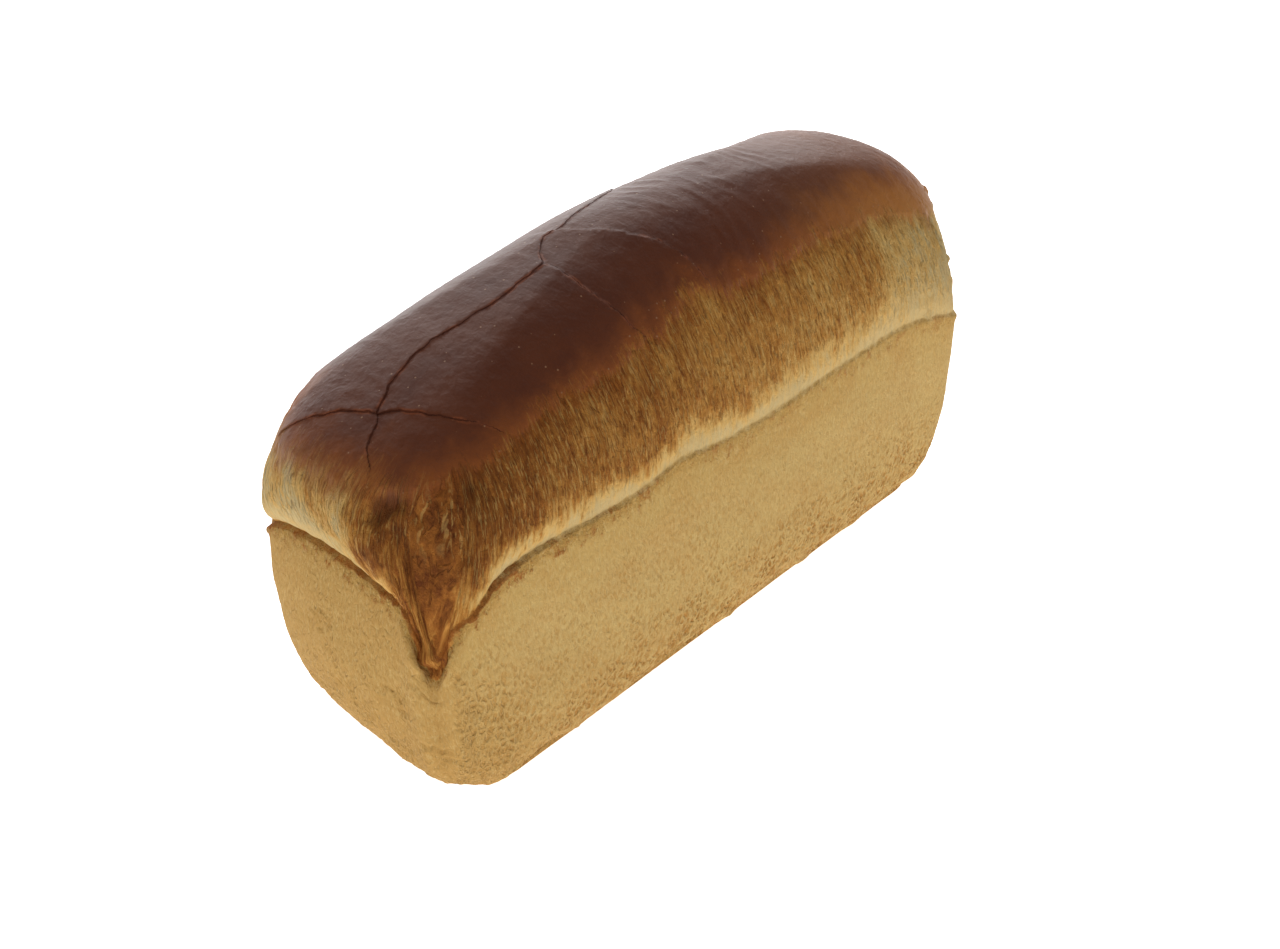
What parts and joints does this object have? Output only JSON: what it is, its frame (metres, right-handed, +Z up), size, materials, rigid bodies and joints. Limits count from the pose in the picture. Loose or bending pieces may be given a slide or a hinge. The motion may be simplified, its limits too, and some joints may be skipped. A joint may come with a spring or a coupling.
{
  "type": "tin loaf",
  "caption": "Unsliced tin loaf: a straight-sided block with a flat base, a furrow at the rim line and a tall rounded crown.",
  "frame": {"origin": "centre of the box at the height of the flat base", "axes": "+X along the loaf towards its taller end, +Y across it, +Z up through the crown"},
  "size_m": [0.2994, 0.1114, 0.1654],
  "materials": {
    "crust": "baked crust: dark brown and slightly glossy on the crown, matt golden tan on the walls"
  },
  "bodies": {
    "root": {"loaf": "crust"}
  },
  "joints": []
}
